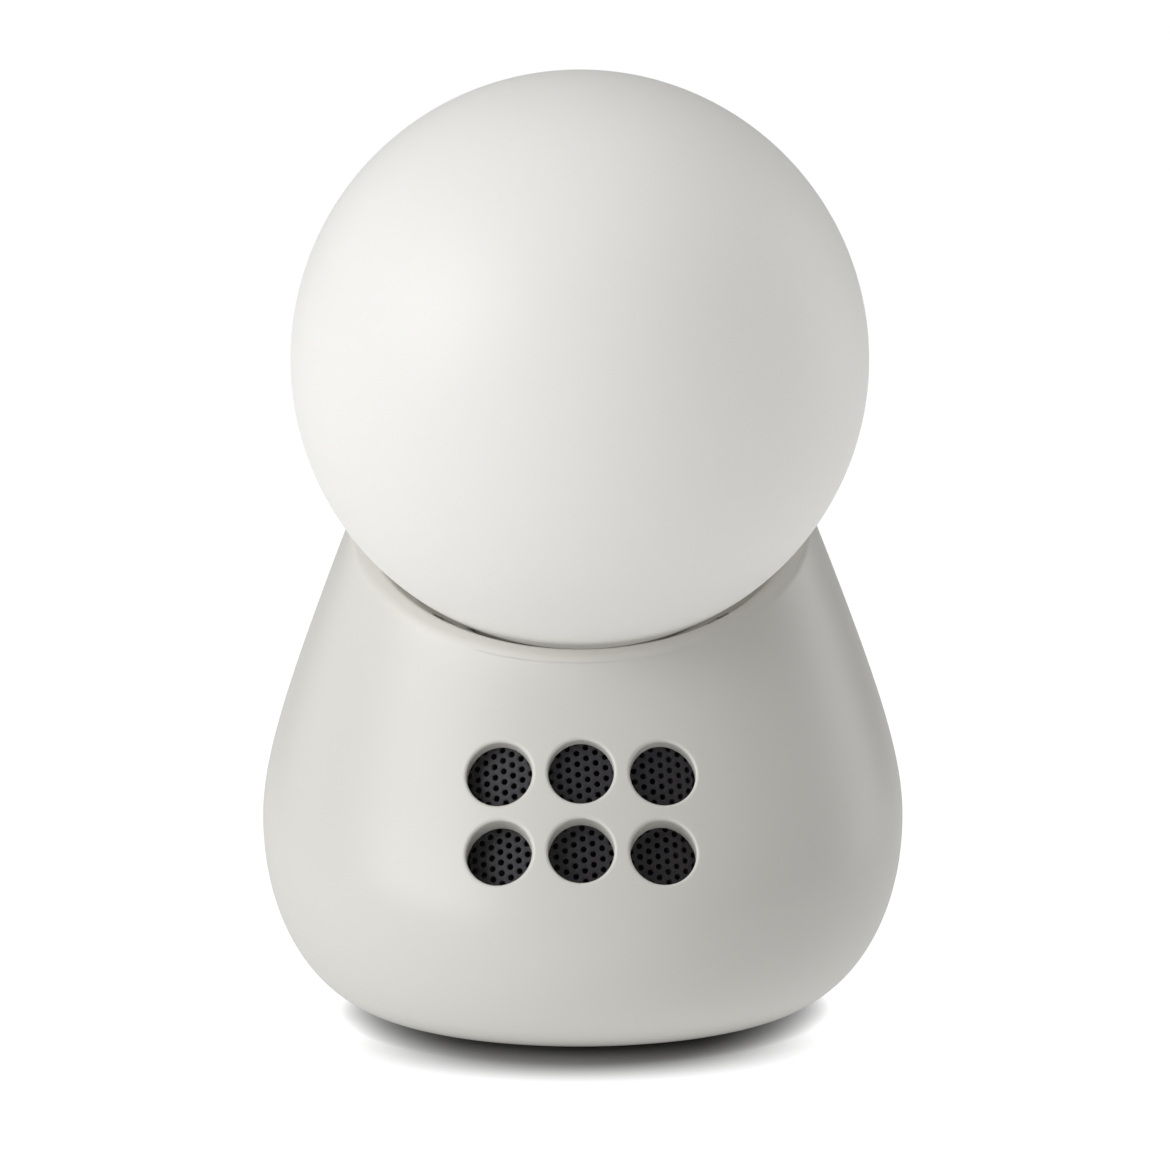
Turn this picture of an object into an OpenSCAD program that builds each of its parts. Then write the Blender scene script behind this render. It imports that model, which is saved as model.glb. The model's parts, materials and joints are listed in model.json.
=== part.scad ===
// Smart speaker lamp: a leaning pear-shaped body with a six-hole speaker grille and an opal
// globe that sits in a seat tilted towards the listener. Millimetres, +Z up, front at -Y.
// The origin is on the ground, under the middle of the whole object's outline.

/* [Globe] */
// Outer diameter of the opal globe
globe_d = 120; // [116:1:150]
// Wall of the globe
globe_wall = 2.2; // [1.6:0.1:3]
// Gap between the globe and the dish that it sits over
seat_gap = 1.1; // [0.8:0.1:1.6]
// Outer diameter of the globe's neck
neck_d = 66; // [56:1:68]
// How far the globe turns from locked to free
twist_angle = 30; // [20:1:36]

/* [Body] */
// Widest diameter of the body
body_d = 137; // [130:1:168]
// Height of the widest section
belly_h = 42.9; // [36:0.5:52]
// Height of the middle of the seat's rim
seat_h = 104.4; // [96:0.5:126]
// Outer diameter of the seat's rim
rim_d = 97.8; // [96:0.2:102]
// Width of the rim, from its outside to the dish
rim_w = 3; // [2.6:0.1:3.6]
// Forward tilt of the seat
seat_tilt = 28; // [22:1:30]
// Diameter of the flat underside
flat_d = 80.5; // [80:0.5:96]
// Wall of the body
wall = 2.6; // [2:0.1:3.2]
// How soon the flank runs straight above the belly
flank_bend = 3.4; // [2:0.1:5]

/* [Grille] */
// Diameter of each of the six holes
hole_d = 13.4; // [10:0.1:14]
// Spacing of the holes, across and up
hole_pitch = 16.6; // [15.6:0.1:17]
// Height of the middle of the six holes
grille_h = 53.5; // [50:0.5:58]
// Upward tilt of the holes
hole_tilt = 26.5; // [22:0.5:30]
// Upward tilt of the perforated sheet and the driver
sheet_tilt = 20; // [18:0.5:23]
// Depth of the sheet behind the body's surface
sheet_depth = 5.2; // [4.8:0.1:6]
// Thickness of the perforated sheet
sheet_t = 0.8; // [0.5:0.1:1]
// Diameter of a perforation
perf_d = 1.2; // [0.8:0.1:1.4]
// Spacing of the perforations
perf_pitch = 2.2; // [2:0.1:3]

/* [Speaker] */
// Diameter of the driver's flange
driver_d = 40; // [36:1:41]
// Travel of the cone each way
cone_travel = 1.5; // [0.5:0.1:2]

/* [Rear panel] */
// Width of the panel
panel_w = 40; // [40:1:44]
// Height of the panel
panel_h = 26; // [26:1:28]
// Height of the middle of the panel
panel_z = 55; // [52:0.5:60]
// Depth of the panel behind the widest section
panel_depth = 7.5; // [7:0.1:9]
// Diameter of a button
button_d = 7; // [5:0.1:7.4]
// Travel of a button
button_travel = 0.5; // [0.2:0.1:0.5]
// Travel of the microphone switch
switch_travel = 3; // [2:0.5:3]

/* [Base] */
// Height of the foot below the body
foot_gap = 1.2; // [0.8:0.1:2]
// Width of the foot ring
foot_w = 6.5; // [5:0.5:8]
// Thickness of the base plate
base_t = 3.4; // [3:0.1:4]

/* [Hidden] */

$fn = 64;
// Clearances: sliding and turning pieces, and pieces that stay still beside each other
run_gap = 0.4;
fit_gap = 0.2;
// Overshoot of a cut past the face that it leaves
past = 1;
// Height of the flat cones that the body is lofted between: only their bases shape the loft
slice = 0.02;

// ---- Body outline ----
body_r = body_d / 2;
rim_r = rim_d / 2;
flat_r = flat_d / 2;
body_facets = 64;
low_steps = 8;
high_steps = 10;
rim_round = 1.6;

// The seat frame's origin is the middle of the rim's top; its z axis leans forward by the tilt
seat_y0 = -rim_round * sin(seat_tilt);
seat_z0 = seat_h + rim_round * cos(seat_tilt);
globe_r = globe_d / 2;
globe_in_r = globe_r - globe_wall;
dish_r = globe_r + seat_gap;
mouth_r = rim_r - rim_w;
globe_rise = sqrt(dish_r * dish_r - mouth_r * mouth_r);
globe_y = seat_y0 - globe_rise * sin(seat_tilt);

// Share of the way from the underside to the seat, and the tilt and radius there
function share(z) = (z - foot_gap) / (seat_h - foot_gap);
function tilt_at(z) = seat_tilt * max(0, share(z));
function flank(v) = (sqrt(1 + pow(flank_bend * v, 2)) - 1) / (sqrt(1 + pow(flank_bend, 2)) - 1);
function high_radius(z) = body_r - (body_r - rim_r) * flank((z - belly_h) / (seat_h - belly_h));
// Sections as [height, radius]: an elliptic quarter up to the belly, then the straightening flank
function low_sections(low_z, inset) = [for (i = [0 : low_steps]) let (a = 90 * i / low_steps)
    [belly_h - (belly_h - low_z) * cos(a), flat_r + (body_r - inset - flat_r) * sin(a)]];
function high_sections(inset) = [for (i = [1 : high_steps])
    let (z = belly_h + (seat_h - belly_h) * i / high_steps) [z, high_radius(z) - inset]];
function sections(low_z, inset) = concat(low_sections(low_z, inset), high_sections(inset));

// The body's axis stands where the whole outline is centred on the origin
back_reach = max([for (s = sections(foot_gap, 0)) s[1] * cos(tilt_at(s[0]))]);
body_y = (globe_r - globe_y - back_reach) / 2;

// ---- Light seat, heights along the seat axis from the rim's top ----
neck_r = neck_d / 2;
neck_wall = 2.2;
neck_top = globe_rise - sqrt(globe_r * globe_r - neck_r * neck_r);
throat_r = neck_r + run_gap;
lug_reach = 2.6;
lug_h = 2.2;
lug_angle = 22;
lug_count = 3;
socket_in_r = neck_r + lug_reach + run_gap;
socket_wall = 2.2;
socket_r = socket_in_r + socket_wall;
collar_r = mouth_r - 2.7;
dish_low = globe_rise - sqrt(dish_r * dish_r - throat_r * throat_r);
seat_floor = globe_rise - sqrt(dish_r * dish_r - socket_r * socket_r) - 2.2;
ledge_t = 2.4;
ledge_low = seat_floor - ledge_t;
collar_top = globe_rise - sqrt(dish_r * dish_r - collar_r * collar_r) - 0.5;
lock_h = 5;
lug_top = dish_low - lock_h - 0.3;
neck_low = lug_top - lug_h;
socket_low = neck_low - 0.8;
plate_t = 2.5;
led_board_r = neck_r - neck_wall - 3.6;
board_t = 1.6;
led_count = 12;
led_ring_r = led_board_r - 7;
reflector_t = 1;
seat_screw_r = (socket_r + collar_r) / 2 - 0.1;
seat_screw_boss_h = 5;
screw_angles = [45, 135, 225, 315];

// ---- Grille: bore frame on the surface, sheet frame on the sheet's outer face ----
hole_cols = [-1, 0, 1];
hole_rows = [-0.5, 0.5];
// Height along the axis whose front point lies at the grille's height
function front_z(z) = z - high_radius(z) * sin(tilt_at(z));
function find_axis_z(lo, hi, n) = n == 0 ? (lo + hi) / 2 :
    let (mid = (lo + hi) / 2)
    front_z(mid) < grille_h ? find_axis_z(mid, hi, n - 1) : find_axis_z(lo, mid, n - 1);
grille_axis_z = find_axis_z(belly_h, seat_h, 24);
grille_y = -high_radius(grille_axis_z) * cos(tilt_at(grille_axis_z));
sheet_r = high_radius(grille_axis_z);
mesh_half_w = hole_pitch + hole_d / 2 + 1.6;
mesh_half_h = hole_pitch / 2 + hole_d / 2 + 2.2;
frame_half_w = mesh_half_w + 5;
frame_half_h = mesh_half_h + 2.6;
// How far the sheet's curve falls back at a distance from its middle
function sheet_sag(x) = sheet_r - sqrt(pow(sheet_r, 2) - pow(x, 2));
frame_back = sheet_sag(frame_half_w) + 2.4;
frame_screw_x = frame_half_w - 2.8;
frame_screw_grip = 2.2;
frame_open_r = driver_d / 2 - 1.7;
frame_lip_t = 3;
mouth_ease = 0.8;

// ---- Driver, heights along the sheet frame's axis, flange on the frame's back ----
driver_r = driver_d / 2;
gasket_t = 0.8;
flange_t = 1;
flange_z = -frame_back - gasket_t;
coil_r = 9;
coil_t = 0.5;
air_gap = 0.45;
magnet_r = driver_r - 4.5;
magnet_h = 2 * cone_travel + 3;
steel_t = 2.5;
basket_depth = 9;
top_plate_z = flange_z - flange_t - basket_depth;
basket_wall = 0.8;
cone_t = 0.5;
cone_out_r = driver_r - 6;
cone_depth = 4.5;
surround_w = 3;
spider_z = top_plate_z + 3.4;

// ---- Rear panel, in the y direction from the panel's outer face ----
panel_y = body_r - panel_depth;
panel_corner = 6;
plug_t = 2.4;
flange_panel_t = 1.4;
flange_margin_w = 4;
flange_margin_h = 2;
panel_t = plug_t + flange_panel_t;
board_gap = 5;
control_w = 42;
control_h = 26;
button_lip = 1;
button_lip_t = 0.8;
button_proud = 0.7;
button_row = 5.5;
port_row = -6;
button_pitch = 9.3;
switch_size = 6;
switch_h = board_gap - 0.3 - button_lip_t - button_travel - 0.3;
slider = [4, 2.4];
switch_x = -12.6;
port_x = 0;
port_w = 8.94;
port_h = 3.26;
mic_x = 9;
light_x = 14.6;
panel_screw_x = panel_w / 2 + 2;
panel_screw_z = 8;
panel_screw_grip = 1.8;

// ---- Base ----
base_r = flat_r - 1.4;
open_r = base_r - 6;
floor_t = 2.4;
floor_z = foot_gap + base_t + floor_t;
foot_r = base_r - 0.5;
foot_groove = 0.6;
base_screw_r = base_r - 3.4;
boss_r = 2.9;
boss_h = 5;
post_h = 5.4;
post_r = 2.4;
post_ring_r = open_r - 6;
main_r = open_r - 2;
main_z = foot_gap + base_t + post_h;

// ---- Screws ----
screw_r = 1.15;
head_r = 2.1;
head_h = 1.2;
hole_gap = 0.15;

wire_r = 1.1;

// ---- Frames ----
module on_body() translate([0, body_y, 0]) children();
module on_seat() on_body() translate([0, seat_y0, seat_z0]) rotate([seat_tilt, 0, 0]) children();
module on_bores() on_body() translate([0, grille_y, grille_h]) rotate([90 - hole_tilt, 0, 0])
    children();
module on_sheet() on_body()
    translate([0, grille_y + sheet_depth * cos(hole_tilt), grille_h - sheet_depth * sin(hole_tilt)])
    rotate([90 - sheet_tilt, 0, 0]) children();
// The panel frame's z axis points out of the back, its x axis along +X and its y axis up
module on_panel() on_body() translate([0, panel_y, panel_z]) rotate([90, 0, 180])
    mirror([1, 0, 0]) children();

// ---- Shared shapes ----
module tube(r_out, r_in, z0, z1) {
    translate([0, 0, z0]) difference() {
        cylinder(r = r_out, h = z1 - z0);
        translate([0, 0, -past]) cylinder(r = r_in, h = z1 - z0 + 2 * past);
    }
}

module disc(r, z0, z1) {
    translate([0, 0, z0]) cylinder(r = r, h = z1 - z0);
}

module block(size, z0, z1) {
    translate([-size[0] / 2, -size[1] / 2, z0]) cube([size[0], size[1], z1 - z0]);
}

module rounded(size, r) {
    square([size[0] - 2 * r, size[1]], center = true);
    square([size[0], size[1] - 2 * r], center = true);
    for (x = [-1, 1], y = [-1, 1])
        translate([x * (size[0] / 2 - r), y * (size[1] / 2 - r)]) circle(r = r);
}

module plate(size, r, z0, z1) {
    translate([0, 0, z0]) linear_extrude(height = z1 - z0) rounded(size, r);
}

module sector(r_in, r_out, z0, z1, mid, angle) {
    rotate([0, 0, mid - angle / 2]) rotate_extrude(angle = angle)
        translate([r_in, z0]) square([r_out - r_in, z1 - z0]);
}

module screw(length) {
    disc(screw_r, -length, 0);
    difference() {
        disc(head_r, 0, head_h);
        cylinder(r = 1.1, h = head_h + past, $fn = 6);
    }
}

// A wire on a cubic curve, set by its two ends and two pull points; it never runs along +X
function unit(v) = v / norm(v);
function curve_at(p, t) = pow(1 - t, 3) * p[0] + 3 * t * pow(1 - t, 2) * p[1]
    + 3 * t * t * (1 - t) * p[2] + pow(t, 3) * p[3];
function curve_dir(p, t) = unit(pow(1 - t, 2) * (p[1] - p[0]) + 2 * t * (1 - t) * (p[2] - p[1])
    + t * t * (p[3] - p[2]));
module wire(p, r) {
    rings = 14;
    sides = 8;
    points = [for (i = [0 : rings - 1])
        let (t = i / (rings - 1), d = curve_dir(p, t), u = unit(cross(d, [1, 0, 0])), v = cross(d, u))
        for (j = [0 : sides - 1]) let (a = 360 * j / sides)
        curve_at(p, t) + r * (cos(a) * u + sin(a) * v)];
    walls = [for (i = [0 : rings - 2], j = [0 : sides - 1]) let (k = (j + 1) % sides)
        [i * sides + j, (i + 1) * sides + j, (i + 1) * sides + k, i * sides + k]];
    first = [[for (j = [0 : sides - 1]) j]];
    last = [[for (j = [sides - 1 : -1 : 0]) (rings - 1) * sides + j]];
    polyhedron(points = points, faces = concat(first, walls, last));
}

// ---- Globe ----
module globe_diffuser() {
    color("#f1f1ef") on_seat() difference() {
        translate([0, 0, globe_rise]) difference() {
            sphere(r = globe_r, $fn = 96);
            sphere(r = globe_in_r, $fn = 96);
        }
        disc(neck_r - neck_wall, neck_top - past, globe_rise);
        disc(globe_r, globe_rise - globe_r - past, neck_top);
    }
}

// Neck with three bayonet lugs, bonded to the edge of the globe's opening
module globe_neck() {
    color("#e4e4e0") on_seat() {
        tube(neck_r, neck_r - neck_wall, neck_low, neck_top);
        for (i = [0 : lug_count - 1])
            sector(neck_r - 0.5, neck_r + lug_reach, neck_low, lug_top, 90 + i * 120, lug_angle);
    }
}

// ---- Body shell ----
module section_disc(s) {
    translate([0, 0, s[0]]) rotate([tilt_at(s[0]), 0, 0])
        cylinder(r1 = s[1], r2 = 0, h = slice, $fn = body_facets);
}

module loft(list) {
    for (i = [0 : len(list) - 2]) hull() {
        section_disc(list[i]);
        section_disc(list[i + 1]);
    }
}

// The rim's rounded top edge, as an arc in the seat frame
module rim_top() {
    for (i = [0 : 2]) hull() for (j = [i, i + 1]) let (a = 30 * j)
        translate([0, 0, rim_round * (sin(a) - 1)])
            cylinder(r1 = rim_r - rim_round * (1 - cos(a)), r2 = 0, h = slice, $fn = body_facets);
}

module outer_form() {
    on_body() loft(sections(foot_gap, 0));
    on_seat() rim_top();
}

module inner_form() {
    difference() {
        on_body() loft(sections(floor_z, wall));
        on_seat() disc(body_r, ledge_low, body_r);
    }
}

// Volume behind the sheet's outer face, where the sheet and its frame lie
module sheet_side(half_w, half_h, depth, ease) {
    intersection() {
        block([2 * half_w, 2 * half_h], -depth, past);
        translate([0, 0, -sheet_r]) rotate([90, 0, 0])
            cylinder(r = sheet_r + ease, h = 2 * half_h + 2 * past, center = true, $fn = 128);
    }
}

module grille_pad() {
    intersection() {
        outer_form();
        on_sheet() block([2 * frame_half_w + 3, 2 * frame_half_h + 2], -frame_back + 3, 20);
    }
}

module panel_pad() {
    intersection() {
        outer_form();
        on_panel() block([panel_w + 2 * flange_margin_w + 4, panel_h + 10], -plug_t, panel_depth + 5);
    }
}

module body_shell() {
    color("#dcdbd5") difference() {
        union() {
            difference() {
                outer_form();
                inner_form();
            }
            grille_pad();
            panel_pad();
            on_seat() for (a = screw_angles)
                rotate([0, 0, a]) translate([seat_screw_r, 0, 0])
                    disc(boss_r, ledge_low - seat_screw_boss_h, ledge_low + 0.1, $fn = 20);
            on_body() for (a = screw_angles)
                rotate([0, 0, a]) translate([base_screw_r, 0, 0])
                    disc(boss_r, floor_z - floor_t / 2, floor_z + boss_h, $fn = 20);
        }
        shell_seat_cuts();
        shell_grille_cuts();
        shell_panel_cuts();
        shell_base_cuts();
    }
}

module shell_seat_cuts() {
    on_seat() {
        translate([0, 0, globe_rise]) sphere(r = dish_r);
        disc(collar_r + fit_gap, seat_floor, globe_rise);
        disc(socket_r + 2 * fit_gap, ledge_low - seat_screw_boss_h - past, seat_floor + past);
        for (a = screw_angles) rotate([0, 0, a]) translate([seat_screw_r, 0, 0])
            disc(screw_r + hole_gap, ledge_low - seat_screw_boss_h + 1, seat_floor + past, $fn = 16);
    }
}

module shell_grille_cuts() {
    on_sheet() {
        sheet_side(frame_half_w + fit_gap, frame_half_h + fit_gap, frame_back + 6, 0.05);
        frame_screw_spots() disc(screw_r + hole_gap, -frame_back,
            -sheet_sag(frame_screw_x) + frame_screw_grip + 0.2, $fn = 16);
    }
    on_bores() for (c = hole_cols, r = hole_rows) {
        translate([c * hole_pitch, r * hole_pitch, 0]) {
            disc(hole_d / 2, -sheet_depth - 6, 5, $fn = 32);
            translate([0, 0, -sheet_sag(c * hole_pitch) - mouth_ease])
                cylinder(r1 = hole_d / 2, r2 = hole_d / 2 + 3 * mouth_ease, h = 3 * mouth_ease, $fn = 32);
        }
    }
}

module shell_panel_cuts() {
    on_panel() {
        plate([panel_w + 2 * fit_gap, panel_h + 2 * fit_gap], panel_corner + fit_gap,
            -plug_t - past, panel_depth + 8);
        plate([panel_w + 2 * flange_margin_w + 2 * fit_gap, panel_h + 2 * flange_margin_h + 2 * fit_gap],
            panel_corner, -panel_t - board_gap, -plug_t);
        panel_screw_spots() disc(screw_r + hole_gap, -plug_t - past, -plug_t + panel_screw_grip + 0.2,
            $fn = 16);
    }
}

module shell_base_cuts() {
    on_body() {
        disc(base_r + fit_gap, -past, foot_gap + base_t);
        disc(open_r, 0, floor_z + past);
        for (a = screw_angles) rotate([0, 0, a]) translate([base_screw_r, 0, 0])
            disc(screw_r + hole_gap, foot_gap, floor_z + boss_h - 1, $fn = 16);
    }
}

// ---- Light unit ----
// Seat collar: a dish under the globe and a socket with three entry notches and stops
module seat_collar() {
    color("#e9e8e3") on_seat() {
        difference() {
            union() {
                disc(collar_r, seat_floor, collar_top);
                disc(socket_r, socket_low, seat_floor + past);
            }
            translate([0, 0, globe_rise]) sphere(r = dish_r, $fn = 96);
            disc(throat_r, socket_low - past, globe_rise);
            disc(socket_in_r, socket_low - past, dish_low - lock_h);
            for (i = [0 : lug_count - 1])
                sector(throat_r - 1, socket_in_r - 0.1, dish_low - lock_h - past, dish_low + 4,
                    90 + i * 120 + twist_angle, lug_angle + 4);
            for (a = screw_angles) rotate([0, 0, a]) translate([seat_screw_r, 0, 0]) {
                disc(screw_r + hole_gap, seat_floor - past, 0);
                disc(head_r + fit_gap, seat_floor + 1.4, 0);
            }
        }
        for (i = [0 : lug_count - 1], side = [0, 1])
            sector(socket_in_r - 2, socket_in_r + 0.5, socket_low, dish_low - lock_h + 0.5,
                90 + i * 120 + side * twist_angle + (2 * side - 1) * (lug_angle / 2 + 3.8), 6);
    }
}

module seat_screws() {
    color("silver") on_seat() for (a = screw_angles)
        rotate([0, 0, a]) translate([seat_screw_r, 0, seat_floor + 1.4]) screw(6);
}

// Aluminium plate that closes the socket and carries the lamp's heat away
module light_plate() {
    color("#c5c8ca") on_seat() difference() {
        disc(socket_r, socket_low - plate_t, socket_low);
        translate([0, -led_board_r / 2, 0]) disc(3, socket_low - plate_t - past, socket_low + past);
    }
}

module led_board() {
    color("#f4f4f0") on_seat() difference() {
        disc(led_board_r, socket_low, socket_low + board_t);
        translate([0, -led_board_r / 2, 0]) disc(2, socket_low - past, socket_low + board_t + past);
    }
}

module leds() {
    color("#f3dc8a") on_seat() for (i = [0 : led_count - 1])
        rotate([0, 0, i * 360 / led_count]) translate([led_ring_r, 0, 0])
            block([2.8, 3.5], socket_low + board_t, socket_low + board_t + 0.8);
}

module light_reflector() {
    low = socket_low + board_t;
    high = neck_top - 0.6;
    top_r = neck_r - neck_wall - run_gap;
    low_r = led_board_r - 1;
    color("white") on_seat() rotate_extrude() polygon([[low_r, low], [low_r + reflector_t, low],
        [top_r, high], [top_r - reflector_t, high]]);
}

// ---- Grille ----
// Perforated sheet, bent to the body's curve, with a hexagonal lattice behind each hole
module grille_mesh() {
    color("#3c393c") on_sheet() intersection() {
        translate([0, 0, -frame_back]) linear_extrude(height = frame_back + past)
            perforated_blank();
        translate([0, 0, -sheet_r]) rotate([90, 0, 0])
            tube(sheet_r, sheet_r - sheet_t, -mesh_half_h - past, mesh_half_h + past);
    }
}

// The flat outline of the sheet, with its perforations
module perforated_blank() {
    column = perf_pitch * sqrt(3) / 2;
    reach = hole_d / 2 + 0.5;
    n = ceil(mesh_half_w / column);
    m = ceil(mesh_half_h / perf_pitch);
    difference() {
        square([2 * mesh_half_w, 2 * mesh_half_h], center = true);
        for (i = [-n : n], j = [-m : m]) {
            x = i * column;
            y = (j + (i % 2 == 0 ? 0 : 0.5)) * perf_pitch;
            c = round(x / hole_pitch);
            r = y < 0 ? -0.5 : 0.5;
            if (abs(c) <= 1 && norm([x - c * hole_pitch, y - r * hole_pitch]) < reach)
                translate([x, y]) circle(d = perf_d, $fn = 16);
        }
    }
}

module frame_screw_spots() {
    for (x = [-1, 1], y = [-1, 1])
        translate([x * frame_screw_x, y * (mesh_half_h - 5), 0]) children();
}

// Frame that presses the sheet against the body and carries the driver on its back
module grille_frame() {
    color("#4a4a4c") on_sheet() difference() {
        union() {
            sheet_side(frame_half_w, frame_half_h, frame_back, 0);
            disc(driver_r + 1, -frame_back, -frame_back + frame_lip_t);
        }
        difference() {
            block([2 * mesh_half_w, 2 * mesh_half_h], -frame_back + 1, past);
            translate([0, 0, -sheet_r]) rotate([90, 0, 0])
                cylinder(r = sheet_r - sheet_t - 0.03, h = 3 * mesh_half_h, center = true);
        }
        plate([2 * mesh_half_w - 3, 2 * mesh_half_h - 3], 5, -frame_back + frame_lip_t, past);
        disc(frame_open_r, -frame_back - past, past);
        frame_screw_spots() disc(screw_r + hole_gap, -frame_back - past, past);
    }
}

module grille_screws() {
    color("silver") on_sheet() frame_screw_spots()
        translate([0, 0, -frame_back]) mirror([0, 0, 1])
            screw(frame_back - sheet_sag(frame_screw_x) + frame_screw_grip);
}

// ---- Driver ----
module driver_gasket() {
    color("#2a2a2a") on_sheet() tube(driver_r, frame_open_r, flange_z, flange_z + gasket_t);
}

module driver_basket() {
    well_r = magnet_r - 1;
    color("#222326") on_sheet() difference() {
        rotate_extrude() polygon([[driver_r - 3, flange_z], [driver_r, flange_z],
            [driver_r, flange_z - flange_t], [driver_r - 3 + basket_wall, flange_z - flange_t],
            [well_r + basket_wall, top_plate_z], [coil_r + 3, top_plate_z],
            [coil_r + 3, top_plate_z + basket_wall], [well_r, top_plate_z + basket_wall],
            [driver_r - 3, flange_z - flange_t]]);
        for (a = [0 : 90 : 270]) rotate([0, 0, a]) translate([driver_r / 2, 0, 0])
            block([driver_r, 9], top_plate_z + 2, flange_z - flange_t - 1.6);
    }
}

module top_plate() {
    color("#8d9094") on_sheet()
        tube(magnet_r - 0.5, coil_r + coil_t + air_gap, top_plate_z - steel_t, top_plate_z);
}

module magnet_ring() {
    color("#39393c") on_sheet()
        tube(magnet_r, coil_r + 3.5, top_plate_z - steel_t - magnet_h, top_plate_z - steel_t);
}

module pole_yoke() {
    low = top_plate_z - steel_t - magnet_h;
    color("#8d9094") on_sheet() {
        disc(magnet_r - 0.5, low - steel_t, low);
        disc(coil_r - air_gap, low, top_plate_z);
    }
}

// Corrugated ring that centres the coil: it flexes as the cone moves
module spider() {
    out_r = magnet_r - 1.2;
    color("#b98b3d") on_sheet() {
        tube(out_r, out_r - 1.2, top_plate_z + basket_wall, spider_z + 0.5);
        for (i = [0 : 1]) let (r = coil_r + coil_t + 0.1 + i * 2)
            tube(r + 1.2, r, spider_z, spider_z + 0.5);
        tube(out_r - 1.2, coil_r + coil_t + 0.1, spider_z + 0.2, spider_z + 0.4);
    }
}

module voice_coil() {
    cone_low = flange_z - cone_depth;
    color("#b87333") on_sheet()
        tube(coil_r + coil_t, coil_r, top_plate_z - steel_t - cone_travel, cone_low);
}

module speaker_cone() {
    low = flange_z - cone_depth;
    color("#2e2e30") on_sheet() rotate_extrude() polygon([[coil_r, low], [coil_r + coil_t, low],
        [cone_out_r, flange_z - cone_t], [cone_out_r + 1.6, flange_z - cone_t],
        [cone_out_r + 1.6, flange_z], [cone_out_r - 0.3, flange_z], [coil_r, low + cone_t * 1.4]]);
}

// Cap over the coil, a shallow dome
module dust_cap() {
    low = flange_z - cone_depth + cone_t * 1.4;
    rise = 2.2;
    ball_r = (pow(coil_r, 2) + pow(rise, 2)) / (2 * rise);
    color("#232325") on_sheet() difference() {
        intersection() {
            translate([0, 0, low + rise - ball_r]) sphere(r = ball_r);
            disc(coil_r, low, low + rise + past);
        }
        translate([0, 0, low + rise - ball_r]) sphere(r = ball_r - 0.5);
    }
}

// Half-round rubber roll between the cone and the basket: it flexes as the cone moves
module cone_surround() {
    roll_r = surround_w / 2 - 0.1;
    roll_mid = cone_out_r + 1 + roll_r + 0.1;
    color("#1c1c1e") on_sheet() rotate_extrude() intersection() {
        translate([roll_mid, flange_z]) difference() {
            circle(r = roll_r, $fn = 24);
            circle(r = roll_r - 0.5, $fn = 24);
        }
        translate([cone_out_r, flange_z]) square([surround_w + 2, roll_r + past]);
    }
}

// ---- Rear panel ----
module panel_screw_spots() {
    for (x = [-1, 1], y = [-1, 1])
        translate([x * panel_screw_x, y * panel_screw_z, 0]) children();
}

module post_spots() {
    for (x = [-1, 1], y = [-1, 1])
        translate([x * (control_w / 2 - 2), y * (control_h / 2 - 2), 0]) children();
}

module rear_panel() {
    color("#d3d2cc") on_panel() {
        difference() {
            union() {
                plate([panel_w, panel_h], panel_corner, -panel_t, 0);
                plate([panel_w + 2 * flange_margin_w, panel_h + 2 * flange_margin_h], panel_corner,
                    -panel_t, -plug_t);
            }
            for (i = [-1.5 : 1.5]) translate([i * button_pitch, button_row, 0])
                disc(button_d / 2 + run_gap, -panel_t - past, past);
            translate([switch_x, port_row, 0])
                plate([slider[0] + switch_travel + 0.8, slider[1] + 0.8], 0.8, -panel_t - past, past);
            translate([port_x, port_row, 0])
                plate([port_w + 0.6, port_h + 0.6], port_h / 2 + 0.29, -panel_t - past, past);
            translate([mic_x, port_row, 0]) disc(0.6, -panel_t - past, past, $fn = 24);
            translate([light_x, port_row, 0]) disc(1.1, -panel_t - past, past, $fn = 24);
            panel_screw_spots() disc(screw_r + hole_gap, -panel_t - past, past);
        }
        post_spots() disc(1.6, -panel_t - board_gap, -panel_t);
    }
}

module panel_screws() {
    color("silver") on_panel() panel_screw_spots() translate([0, 0, -panel_t])
        mirror([0, 0, 1]) screw(flange_panel_t + panel_screw_grip);
}

// A round button with a retaining lip behind the panel and a raised ring on its face
module button(i) {
    back = -panel_t - 0.3 - button_lip_t;
    color("#bdbcb6") on_panel() translate([i * button_pitch, button_row, 0]) difference() {
        union() {
            disc(button_d / 2, back, button_proud);
            disc(button_d / 2 + button_lip, back, back + button_lip_t);
        }
        disc(button_d / 2 - 1.2, button_proud - 0.3, button_proud + past);
    }
}

module volume_down_button() { button(-1.5); }
module play_button() { button(-0.5); }
module light_button() { button(0.5); }
module volume_up_button() { button(1.5); }

// Microphone switch: the slider lies at the left end of its slot
module mic_switch() {
    back = -panel_t - 0.3 - 0.8;
    color("#8c3a32") on_panel() translate([switch_x - switch_travel / 2, port_row, 0]) {
        plate(slider, 0.5, back, 0.5);
        plate([slider[0] + switch_travel + 2, slider[1] + 2], 0.8, back, back + 0.8);
    }
}

module control_board() {
    color("#2f6b46") on_panel() difference() {
        plate([control_w, control_h], 1.5, -panel_t - board_gap - board_t, -panel_t - board_gap);
        translate([mic_x, port_row, 0]) disc(0.5, -20, 0, $fn = 24);
    }
}

module tact_switches() {
    color("#303236") on_panel() for (i = [-1.5 : 1.5])
        translate([i * button_pitch, button_row, 0]) {
            block([switch_size, switch_size], -panel_t - board_gap, -panel_t - board_gap + switch_h - 0.4);
            disc(1.7, -panel_t - board_gap + switch_h - 0.5, -panel_t - board_gap + switch_h);
        }
}

module slide_switch() {
    color("#b9bcc0") on_panel() translate([switch_x, port_row, 0])
        block([9, 3.6], -panel_t - board_gap, -panel_t - board_gap + 2.8);
}

module microphone() {
    color("#c9a34a") on_panel() translate([mic_x, port_row, 0])
        block([3.8, 3], -panel_t - board_gap, -panel_t - board_gap + 1.1);
}

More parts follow.
